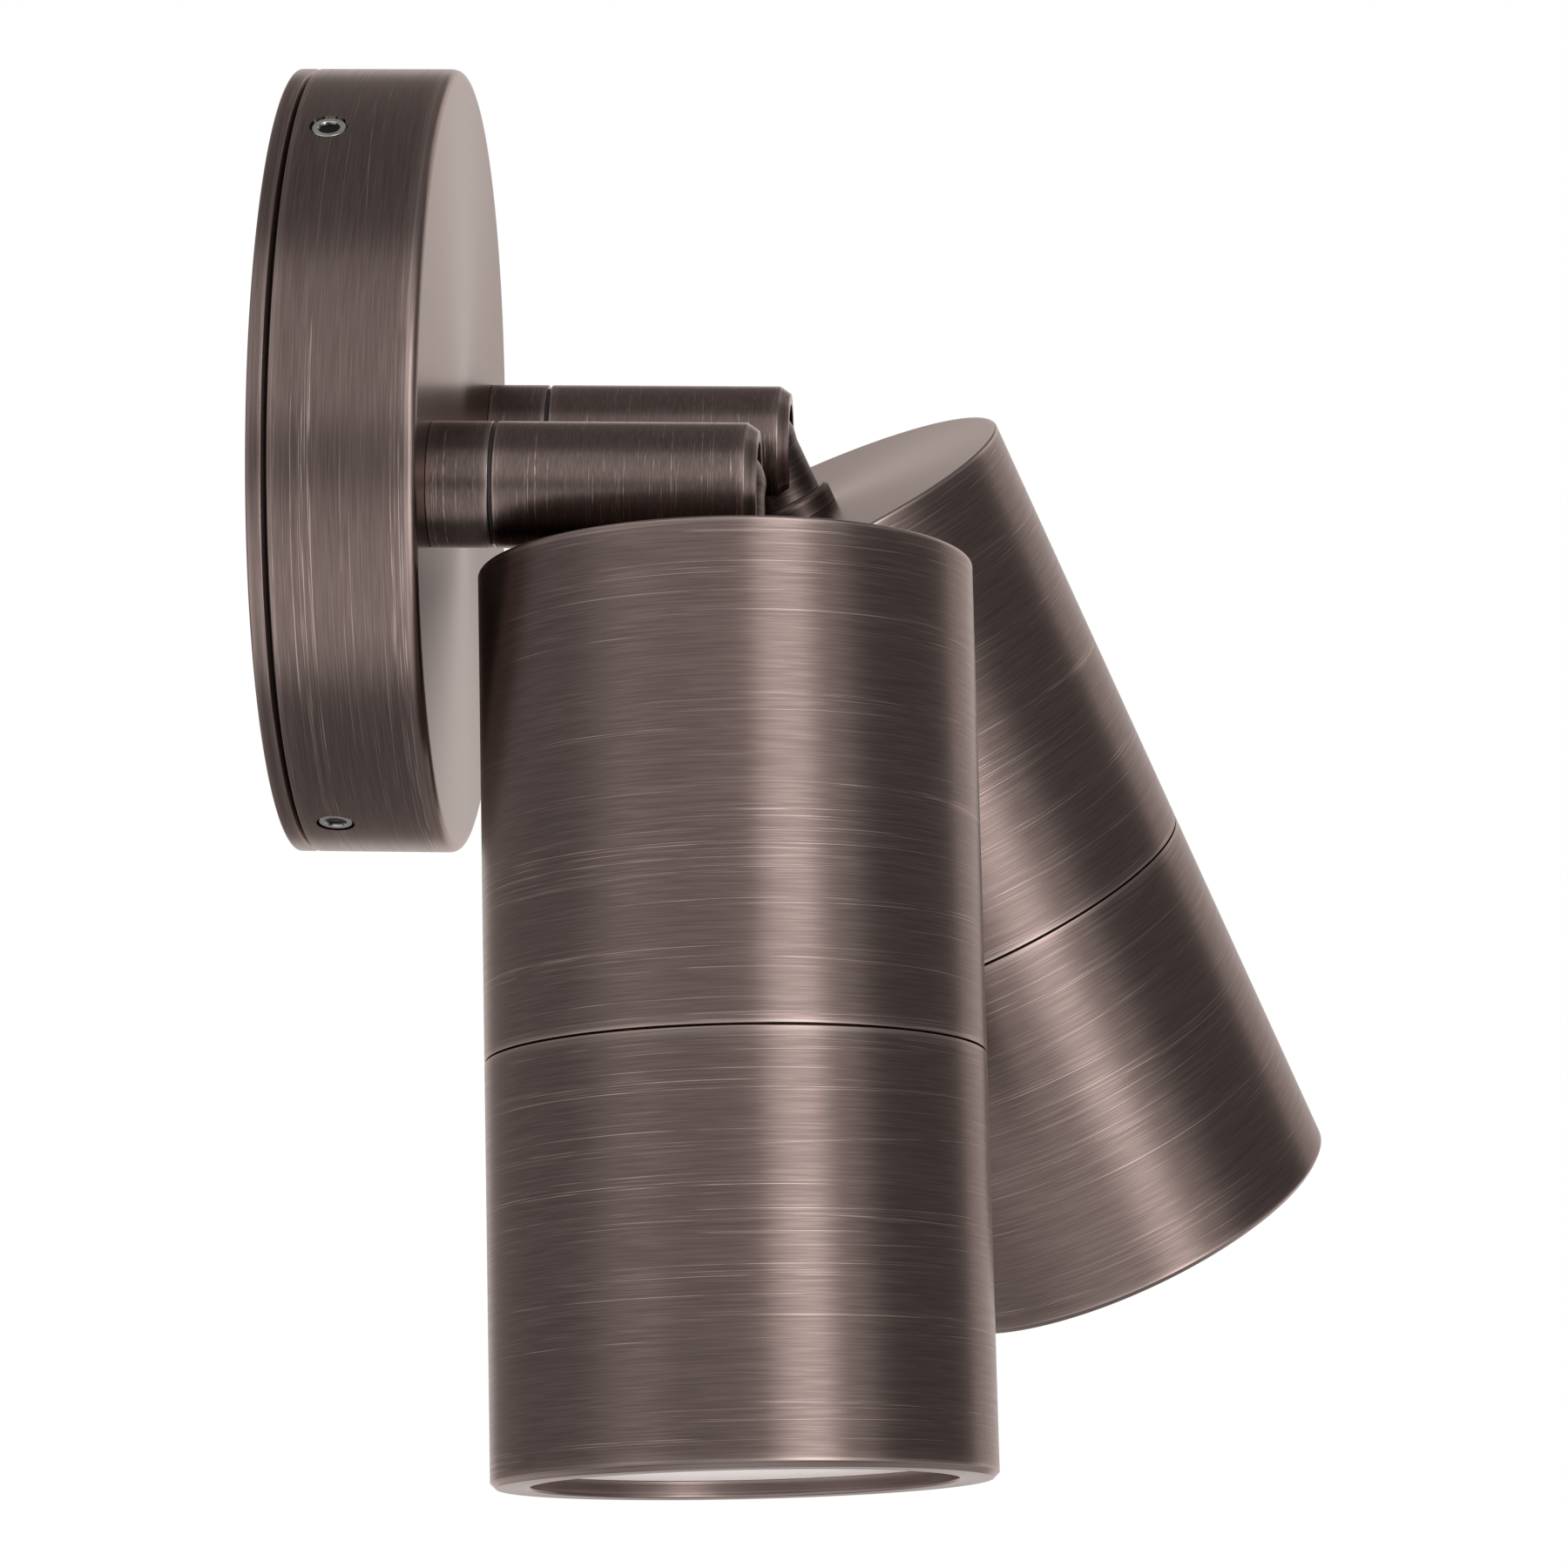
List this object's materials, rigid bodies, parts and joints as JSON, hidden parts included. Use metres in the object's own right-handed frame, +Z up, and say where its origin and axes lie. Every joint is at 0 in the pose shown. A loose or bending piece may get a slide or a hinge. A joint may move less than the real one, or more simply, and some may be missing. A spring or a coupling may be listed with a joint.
{
  "type": "twin wall spotlight",
  "caption": "Wall spotlight in brushed dark bronze: a round base with level arms, each carrying a tubular head that swivels and tilts to aim its lamp.",
  "frame": {"origin": "middle of the base's back, on the wall plane Y = 0", "axes": "+Y into the wall, the light stands out along -Y, +Z up, +X to the right for someone facing the light"},
  "size_m": [0.178, 0.1331, 0.1739],
  "materials": {
    "brushed_bronze": "brushed antique bronze patina, satin",
    "plain_brass": "machined",
    "stainless_steel": "satin",
    "zinc_steel": "bright zinc",
    "nickel_steel": "nickel plated",
    "black_rubber": "matte",
    "foam_rubber": "closed-cell foam",
    "silicone_rubber": "translucent matte",
    "silicone_sleeve": "matte sleeve",
    "black_nylon": "matte",
    "white_plastic": "moulded",
    "lamp_plastic": "moulded satin",
    "lamp_optic": "clear moulded optic",
    "lens_glass": "clear toughened",
    "steatite": "pressed, unglazed"
  },
  "bodies": {
    "base": {"wall_gasket": "foam_rubber", "mounting_plate": "brushed_bronze", "cable_grommet": "black_rubber", "canopy_seal": "black_rubber", "canopy": "brushed_bronze", "grub_screws": "stainless_steel", "terminal_block": "white_plastic", "terminal_screws": "plain_brass", "terminal_block_screw": "stainless_steel", "earth_screw": "plain_brass", "socket_lock_washers": "zinc_steel", "socket_lock_nuts": "plain_brass", "stop_pins": "stainless_steel", "left_swivel_socket": "brushed_bronze", "left_thrust_washer": "black_nylon", "left_spring_washer": "stainless_steel", "left_swivel_bolt": "plain_brass", "right_swivel_socket": "brushed_bronze", "right_thrust_washer": "black_nylon", "right_spring_washer": "stainless_steel", "right_swivel_bolt": "plain_brass"},
    "left_arm": {"left_arm": "brushed_bronze", "left_pivot_screw": "stainless_steel"},
    "left_head": {"left_knuckle_stem": "brushed_bronze", "left_stem_o_ring": "black_rubber", "left_stem_washer": "zinc_steel", "left_stem_nut": "plain_brass", "left_rear_body": "brushed_bronze", "left_body_o_ring": "black_rubber", "left_front_sleeve": "brushed_bronze", "left_lens": "lens_glass", "left_lens_gasket": "silicone_rubber", "left_lamp": "lamp_plastic", "left_lamp_optic": "lamp_optic", "left_lamp_pins": "nickel_steel", "left_lampholder": "steatite", "left_holder_bracket": "zinc_steel", "left_bracket_screws": "stainless_steel", "left_holder_screws": "stainless_steel", "left_lamp_leads": "silicone_sleeve"},
    "right_arm": {"right_arm": "brushed_bronze", "right_pivot_screw": "stainless_steel"},
    "right_head": {"right_knuckle_stem": "brushed_bronze", "right_stem_o_ring": "black_rubber", "right_stem_washer": "zinc_steel", "right_stem_nut": "plain_brass", "right_rear_body": "brushed_bronze", "right_body_o_ring": "black_rubber", "right_front_sleeve": "brushed_bronze", "right_lens": "lens_glass", "right_lens_gasket": "silicone_rubber", "right_lamp": "lamp_plastic", "right_lamp_optic": "lamp_optic", "right_lamp_pins": "nickel_steel", "right_lampholder": "steatite", "right_holder_bracket": "zinc_steel", "right_bracket_screws": "stainless_steel", "right_holder_screws": "stainless_steel", "right_lamp_leads": "silicone_sleeve"}
  },
  "joints": [
    {"name": "left_swivel", "type": "hinge", "parent": "base", "child": "left_arm", "pos_m": [-0.0335, 0, 0], "axis": [0, 1, 0], "range_deg": [-18.6, 161.4]},
    {"name": "left_tilt", "type": "hinge", "parent": "left_arm", "child": "left_head", "pos_m": [-0.0335, -0.05615, 0], "axis": [-0.9478, 0, 0.319], "range_deg": [-2.5, 87.5]},
    {"name": "right_swivel", "type": "hinge", "parent": "base", "child": "right_arm", "pos_m": [0.0335, 0, 0], "axis": [0, -1, 0], "range_deg": [-7.6, 172.4]},
    {"name": "right_tilt", "type": "hinge", "parent": "right_arm", "child": "right_head", "pos_m": [0.0335, -0.05615, 0], "axis": [-0.9912, 0, -0.1323], "range_deg": [-24.4, 65.6]}
  ]
}
